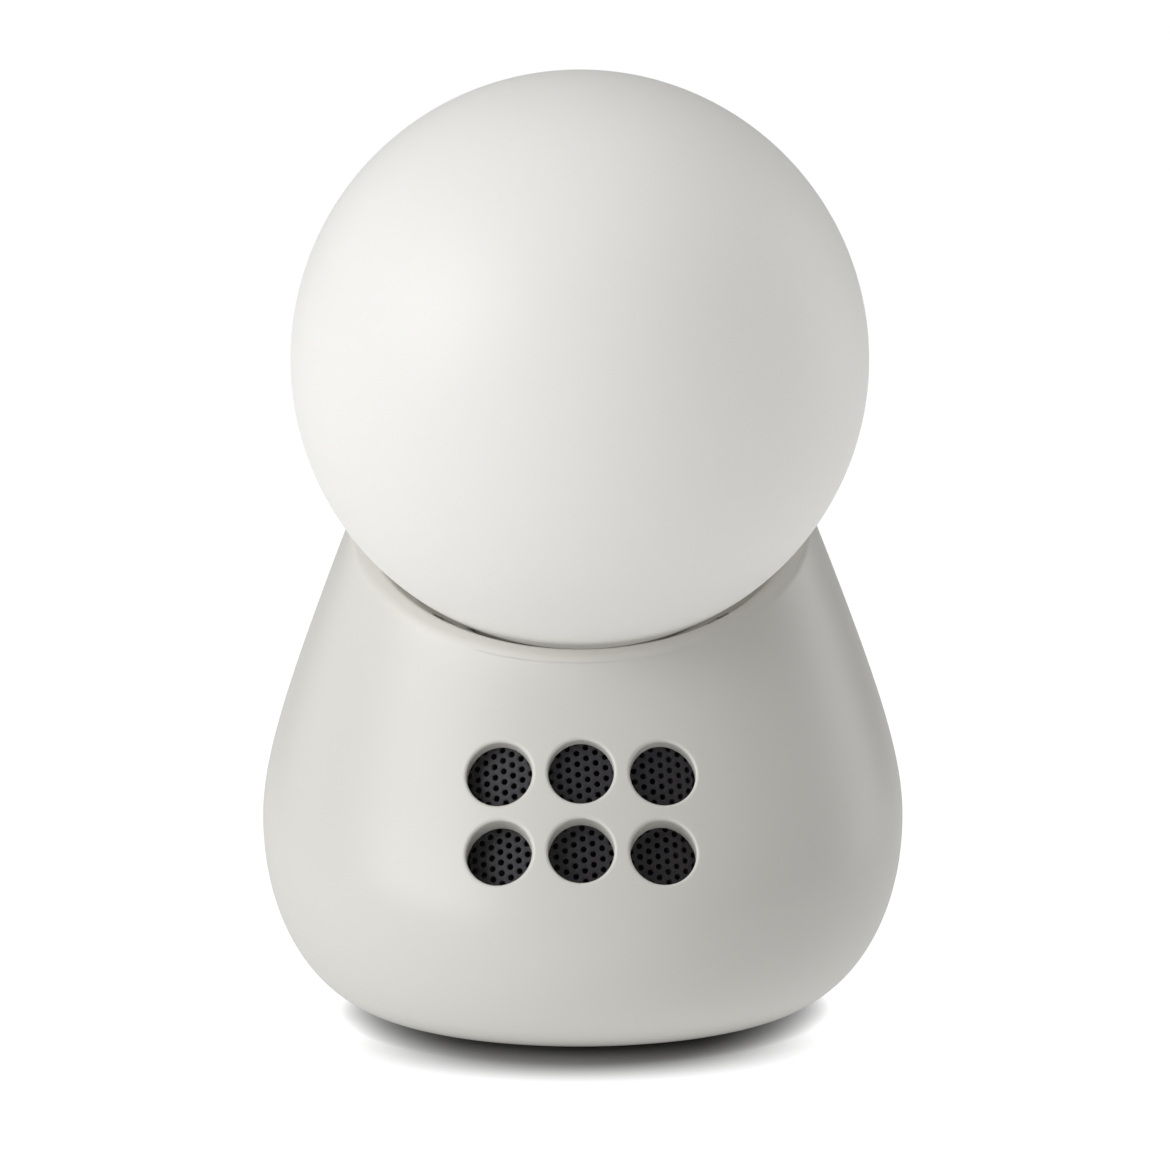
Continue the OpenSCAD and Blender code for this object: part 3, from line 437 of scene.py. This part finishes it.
# the whole skin as one closed grid: outer wall up from the base, over the rim, down into the seat, back
# along the inner wall and under the base; its two windows are filled by cells that follow the holes
def makeBody():
    cell, low, high, side = 22, 30, 22, 30
    frontGuess, rearGuess = (-np.pi / 2, 0.7), (np.pi / 2, 0.45)
    window = (3 * grille["pitch"], 2 * grille["pitch"])
    rearWindow = (alcove["width"] + 2 * alcove["margin"], alcove["height"] + 2 * alcove["margin"])
    rearColumns, rearRows = 52, 2 * cell
    front, frontIn = halfGrid(-np.pi, np.pi, boreFrame, window, (side, low, high, 3 * cell, 2 * cell),
                              frontGuess)
    rear, rearIn = halfGrid(0, np.pi, panelFrame, rearWindow, (side, low, high, rearColumns, rearRows),
                            rearGuess)
    half = front.shape[1] - 1
    grid = np.concatenate([front[:, :-1], rear[:, :-1]], 1)
    phi, s = grid[..., 0], grid[..., 1]
    outer = bodyPoint(phi, s)
    innerSide = bodyPoint(phi, s * form["innerEnd"], form["wall"], form["floor"])
    # the wall is thicker in the two windows: it reaches the sheet in front and the panel behind
    windows = ((boreFrame, ontoSheet, frontIn, 0), (panelFrame, ontoPad, rearIn, half))
    for frameOf, inner, mask, shift in windows:
        i, j = np.nonzero(mask)
        j = (j + shift) % grid.shape[1]
        local = (outer[i, j] - frameOf[0]) @ np.array(frameOf[1:3]).T
        innerSide[i, j] = inner(local[:, 0], local[:, 1])

    # rim: the flank's last stretch turns over onto the flat top, then over into the dish
    ring = phi[-1]
    circle = np.stack([np.cos(ring), np.sin(ring), np.zeros(len(ring))], -1)

    def onSeat(radius, z):
        return toWorld(circle * [radius, radius, 0] + [0, 0, z], seat)

    dishMouth = math.sqrt(form["dish"] ** 2 - (globe["rise"] - rimPlane) ** 2)
    wellZ = globe["rise"] - math.sqrt(form["dish"] ** 2 - form["well"] ** 2)
    corner = outer[-1]
    down = outer[-2] - corner
    start = corner + down / np.linalg.norm(down, axis=-1)[:, None] * form["rimRound"]
    over = rounding(start, corner, onSeat(form["rim"] - form["rimRound"], rimPlane), 7)
    turn = rounding(onSeat(dishMouth + form["mouthRound"], rimPlane), onSeat(dishMouth, rimPlane),
                    onSeat(dishMouth - 0.5, rimPlane - form["mouthDrop"]), 5)
    flatTop = np.linspace(over[-1], turn[0], 4)[1:-1]
    ledgeUnder = form["ledge"] - form["ledgeThick"]
    below = [onSeat(form["well"], wellZ), onSeat(form["well"], form["ledge"]),
             onSeat(form["hole"], form["ledge"]), onSeat(form["hole"], ledgeUnder),
             onSeat(form["ledgeOut"], ledgeUnder)]
    # underside: a flat strip, then up the recess that takes the base plate
    angle = np.stack([np.cos(phi[0]), np.sin(phi[0])], -1)

    def level(radius, z):
        return np.concatenate([angle * radius + [0, axisY], np.full((len(angle), 1), z)], -1)

    under = [level(form["opening"], form["floor"]), level(form["opening"], form["recessTop"]),
             level(form["recess"], form["recessTop"]), level(form["recess"], form["low"] + form["footEase"]),
             level(form["recess"] + form["footEase"], form["low"])]
    stack = np.concatenate([outer[:-1], over, flatTop, turn, np.stack(below), innerSide[::-1],
                            np.stack(under)])
    faces = gridFaces(len(stack), stack.shape[1], closeRows=True, closeColumns=True)
    drop = np.zeros(faces.shape[:2], bool)
    topRow = len(stack) - len(under) - 1
    for first, columns in ((side, 3 * cell), (half + side, rearColumns)):
        drop[low:low + 2 * cell, first:first + columns] = True
        drop[topRow - low - 2 * cell:topRow - low, first:first + columns] = True
    points = [stack.reshape(-1, 3)]
    allFaces = [faces[~drop]]
    count = stack.shape[0] * stack.shape[1]
    cells = []
    for c in (-1, 0, 1):
        for r in (-0.5, 0.5):
            middle = (c * grille["pitch"], r * grille["pitch"])
            square = rectangle(grille["pitch"], grille["pitch"], cell, cell, middle)
            cells.append(windowCell(boreFrame, square, circleShape(grille["hole"] / 2, cell, cell, middle),
                                    grille["edge"], ontoSheet, frontGuess, 8))
    rearRect = rectangle(*rearWindow, rearColumns, rearRows)
    recessShape = roundedShape(alcove["width"], alcove["height"], alcove["corner"], rearColumns, rearRows)
    cells.append(windowCell(panelFrame, rearRect, recessShape, alcove["edge"], ontoPad, rearGuess, 8))
    for rings in cells:
        points.append(rings.reshape(-1, 3))
        allFaces.append(gridFaces(rings.shape[0], rings.shape[1], closeColumns=True, start=count)
                        .reshape(-1, 4))
        count += rings.shape[0] * rings.shape[1]
    return makePiece("bodyShell", np.concatenate(points), np.concatenate(allFaces), "body_plastic",
                     "housing", ["body_shell"], sharp=38, weld=0.002)


makeBody()
print("stage: body shell made")


# a sphere with a wall, open at the neck: outer arc down to the opening, a flat lip, inner arc back
def makeGlobe():
    radius, columns = globe["radius"], globe["columns"]
    inRadius = radius - globe["wall"]
    middle = tiltedFrame(toWorld(np.array([0, 0, globe["rise"]]), seat), form["tilt"])
    outEnd = math.pi - math.asin(globe["neckOut"] / radius)
    inEnd = math.pi - math.asin(globe["neckIn"] / inRadius)
    a, b = np.linspace(0, outEnd, globe["outside"]), np.linspace(inEnd, 0, globe["inside"])
    outer = np.stack([radius * np.sin(a), radius * np.cos(a)], -1)
    inner = np.stack([inRadius * np.sin(b), inRadius * np.cos(b)], -1)
    lip = [[globe["neckIn"], radius * math.cos(outEnd)]]
    profile = np.concatenate([outer, lip, inner])
    points = turned(profile, middle, columns)
    faces = gridFaces(len(profile), columns, closeColumns=True).reshape(-1, 4)
    return makePiece("opalGlobe", points, faces, "opal", "globe", ["globe_diffuser"], sharp=50)


makeGlobe()
print("stage: globe made")


# hexagonal cells with a punched hole each: rings of 12 points go from the hexagon to the hole's rounded
# edge, down its wall and out again behind; the flat lattice is then rolled onto the sheet's cylinder
def makeSheet():
    hole, side = grille["perforation"] / 2, grille["side"]
    column = grille["spacing"] * math.sqrt(3) / 2
    i, j = np.meshgrid(np.arange(-grille["columns"], grille["columns"] + 1),
                       np.arange(-grille["rows"], grille["rows"] + 1), indexing="ij")
    x = i * column
    y = (j + 0.5 * (i % 2)) * grille["spacing"]
    t = math.radians(grille["turn"])
    cx, cy = x * math.cos(t) - y * math.sin(t), x * math.sin(t) + y * math.cos(t)
    keep = (np.abs(cx) < grille["halfWidth"]) & (np.abs(cy) < grille["halfHeight"])
    centres = np.stack([cx[keep], cy[keep]], -1)
    angle = np.arange(side) * 2 * np.pi / side
    apothem = grille["spacing"] / 2
    hexagon = apothem / np.cos((angle + np.pi / 3) % (np.pi / 3) - np.pi / 6)
    thick = grille["sheet"]
    rings = [(hexagon, 0.0), (hole + 0.16, 0.0), (hole + 0.07, -0.03), (hole + 0.015, -0.1),
             (hole, -0.22), (hole, -thick + 0.1), (hole + 0.1, -thick), (hexagon, -thick)]
    radius = np.stack([np.broadcast_to(r, side) for r, _ in rings])
    depth = np.array([z for _, z in rings])
    turnedAngle = angle + t
    flatX = centres[:, 0, None, None] + radius * np.cos(turnedAngle)
    flatY = centres[:, 1, None, None] + radius * np.sin(turnedAngle)
    reach = sheetRadius + depth[None, :, None]
    roll = flatX / sheetRadius
    local = np.stack([reach * np.sin(roll), np.broadcast_to(flatY, flatX.shape),
                      reach * np.cos(roll) - sheetRadius], -1)
    points = toWorld(local.reshape(-1, 3), sheetFrame)
    perCell = gridFaces(len(rings), side, closeColumns=True).reshape(-1, 4)
    offsets = (np.arange(len(centres)) * len(rings) * side)[:, None, None]
    faces = (perCell[None] + offsets).reshape(-1, 4)
    return makePiece("perforatedSheet", points, faces, "mesh_steel", "housing", ["grille_mesh"],
                     sharp=60, weld=0.01, bridge=True)


makeSheet()
print("stage: perforated sheet made")


# a copy of a CAD node with its doubles merged and flat areas joined, and every real edge bevelled
def softened(name, node, slot, body, width, segments=3, limit=32):
    mesh = nodes[node].data.copy()
    work = bmesh.new()
    work.from_mesh(mesh)
    bmesh.ops.remove_doubles(work, verts=work.verts, dist=0.001 * mm)
    bmesh.ops.dissolve_limit(work, angle_limit=math.radians(0.5), verts=work.verts, edges=work.edges)
    bmesh.ops.recalc_face_normals(work, faces=work.faces)
    work.to_mesh(mesh)
    work.free()
    piece = finishPiece(name, mesh, slot, body, [node], 30)
    bevel = piece.modifiers.new("softEdge", "BEVEL")
    bevel.width = width * mm
    bevel.segments = segments
    bevel.limit_method = "ANGLE"
    bevel.angle_limit = math.radians(limit)
    bevel.harden_normals = True
    bevel.miter_outer = "MITER_ARC"
    return piece


softPieces = {
    "rearPanel": ("rear_panel", "panel_plastic", "housing", 0.35),
    "volumeDownButton": ("volume_down_button", "button_plastic", "volume_down_button", 0.3),
    "playButton": ("play_button", "button_plastic", "play_button", 0.3),
    "lightButton": ("light_button", "button_plastic", "light_button", 0.3),
    "volumeUpButton": ("volume_up_button", "button_plastic", "volume_up_button", 0.3),
    "micSwitch": ("mic_switch", "switch_plastic", "mic_switch", 0.2),
    "usbInlet": ("usb_inlet", "plated_steel", "housing", 0.1),
    "basePlate": ("base_plate", "base_plastic", "housing", 0.3),
    "footRing": ("foot_ring", "foot_silicone", "housing", 0.5),
    "globeNeck": ("globe_neck", "globe_neck_plastic", "globe", 0.3),
    "seatCollar": ("seat_collar", "collar_plastic", "housing", 0.25),
}
for pieceName, (node, slot, body, width) in softPieces.items():
    softened(pieceName, node, slot, body, width)
print("stage: softened pieces made")

# every CAD node takes its slot's material
for part in frame["record"]["subparts"]:
    for place in nodes[part["node"]].material_slots:
        place.material = materials[part["material_slot"]]
print("stage: CAD nodes painted")


view = dict(distance=1000.0, height=95.0, elevation=7.69, yaw=0.35, roll=0.3, lens=144.37,
            shift=(0.0030, -0.0138))
lights = {
    "keyLeft": dict(at=(-950, -700, 600), size=(1000, 900), power=10.9, aim=(0, 0, 95)),
    "softTop": dict(at=(100, -200, 1100), size=(1100, 1100), power=3.6, aim=(0, 0, 95)),
    "fillRight": dict(at=(1050, 450, 350), size=(500, 900), power=2.7, aim=(0, 0, 95)),
    "fillFront": dict(at=(300, -1400, 500), size=(900, 700), power=0.6, aim=(0, 0, 95)),
    "backLeft": dict(at=(-1000, 500, 500), size=(700, 900), power=1.2, aim=(0, 0, 95)),
}
studio = dict(floorRadius=30000.0, floorColour="#8c8c8c", light=0.07)  # light: what the walls give
# painted shadow in the floor's glow: contact darkening within contact mm of the body, and a soft ellipse
# painted forward of the base; bounce is the glow that lights the object
paintedShadow = dict(contact=5.0, forward=35.0, halfSize=(40.0, 29.0), start=0.55, end=1.4, bounce=0.59)


# white floor that glows as a light table does, its glow darkened by a painted shadow in front of the base
# and painted shade near it, and a room that is white to the eye but gives little light
def makeStage():
    angle = np.linspace(0, 2 * np.pi, 96, endpoint=False)
    mesh = bpy.data.meshes.new("studioFloor")
    ring = np.stack([np.cos(angle), np.sin(angle), 0 * angle], -1) * studio["floorRadius"] * mm
    mesh.from_pydata(ring.tolist(), [], [list(range(96))])
    floor = bpy.data.objects.new("studioFloor", mesh)
    bpy.context.scene.collection.objects.link(floor)
    material, tree, shader, place = newMaterial("whiteStudioFloorPaintedShadow")
    # painted contact shade: ambient occlusion darkens the floor's glow close under the base
    paintedContactShade = addNode(tree, "ShaderNodeAmbientOcclusion", {"Distance": paintedShadow["contact"] * mm, "samples": 8})
    # painted shadow, standing for one that falls forward from the base: a ramp over an ellipse's own
    # distance
    scale = [1 / (v * mm) for v in paintedShadow["halfSize"]] + [0]
    middle = [0, (paintedShadow["forward"] - axisY) / paintedShadow["halfSize"][1], 0]
    ellipse = addNode(tree, "ShaderNodeMapping", {"Scale": scale, "Location": middle}, {"Vector": place})
    away = addNode(tree, "ShaderNodeVectorMath", {"operation": "LENGTH"}, {0: ellipse.outputs[0]})
    ramp = addNode(tree, "ShaderNodeMapRange",
                   {"interpolation_type": "SMOOTHSTEP", "From Min": paintedShadow["start"],
                    "From Max": paintedShadow["end"]}, {"Value": away.outputs["Value"]})
    # the eye sees the painted shadow; the light that the floor sends back up stays even but for the painted
    # contact shade
    curve = addNode(tree, "ShaderNodeMath", {"operation": "MULTIPLY"},
                    {0: paintedContactShade.outputs["AO"], 1: ramp.outputs[0]})
    seen = addNode(tree, "ShaderNodeLightPath").outputs["Is Camera Ray"]
    even = addNode(tree, "ShaderNodeMath", {"operation": "MULTIPLY", 1: paintedShadow["bounce"]},
                   {0: paintedContactShade.outputs["AO"]})
    glow = addNode(tree, "ShaderNodeMix", {"data_type": "FLOAT"},
                   {0: seen, 2: even.outputs[0], 3: curve.outputs[0]})
    tree.links.new(glow.outputs[0], shader.inputs["Emission Strength"])
    shader.inputs["Emission Color"].default_value = (1, 1, 1, 1)
    shader.inputs["Base Color"].default_value = linear(studio["floorColour"])
    shader.inputs["Roughness"].default_value = 0.9
    shader.inputs["Specular IOR Level"].default_value = 0.1
    mesh.materials.append(material)

    world = bpy.data.worlds.new("studio")
    bpy.context.scene.world = world
    world.use_nodes = True
    tree = world.node_tree
    tree.nodes.clear()
    seen = addNode(tree, "ShaderNodeLightPath")
    dim = addNode(tree, "ShaderNodeBackground", {"Color": (1, 1, 1, 1), "Strength": studio["light"]})
    white = addNode(tree, "ShaderNodeBackground", {"Color": (1, 1, 1, 1), "Strength": 1.0})
    both = addNode(tree, "ShaderNodeMixShader", {}, {0: seen.outputs["Is Camera Ray"],
                                                     1: dim.outputs[0], 2: white.outputs[0]})
    addNode(tree, "ShaderNodeOutputWorld", {}, {"Surface": both.outputs[0]})


# placement at an eye point that looks at a target, with the given direction up
def aimed(eye, target, up=(0, 0, 1)):
    eye, target = np.array(eye, float), np.array(target, float)
    forward = (target - eye) / np.linalg.norm(target - eye)
    right = np.cross(forward, up)
    right /= np.linalg.norm(right)
    top = np.cross(right, forward)
    matrix = np.eye(4)
    matrix[:3, 0], matrix[:3, 1], matrix[:3, 2], matrix[:3, 3] = right, top, -forward, eye * mm
    return Matrix(matrix.tolist())


def makeLights():
    for name, values in lights.items():
        lamp = bpy.data.lights.new(name, "AREA")
        lamp.shape = "RECTANGLE"
        lamp.size, lamp.size_y = (v * mm for v in values["size"])
        lamp.energy = values["power"]
        obj = bpy.data.objects.new(name, lamp)
        bpy.context.scene.collection.objects.link(obj)
        obj.matrix_world = aimed(values["at"], values["aim"])


def makeCamera():
    e, y = math.radians(view["elevation"]), math.radians(view["yaw"])
    forward = np.array([-math.sin(y) * math.cos(e), math.cos(y) * math.cos(e), -math.sin(e)])
    target = np.array([0, axisY, view["height"]])
    lens = bpy.data.cameras.new("viewCamera")
    lens.sensor_width, lens.lens = 36, view["lens"]
    lens.shift_x, lens.shift_y = view["shift"]
    lens.clip_start, lens.clip_end = 0.05, 100
    obj = bpy.data.objects.new("viewCamera", lens)
    bpy.context.scene.collection.objects.link(obj)
    roll = math.radians(view["roll"])
    obj.matrix_world = aimed(target - view["distance"] * forward, target,
                             (math.sin(roll), 0, math.cos(roll)))
    bpy.context.scene.camera = obj


makeStage()
makeLights()
makeCamera()
bpy.context.scene.view_settings.view_transform = "Standard"
print("stage: floor, lights and camera set")
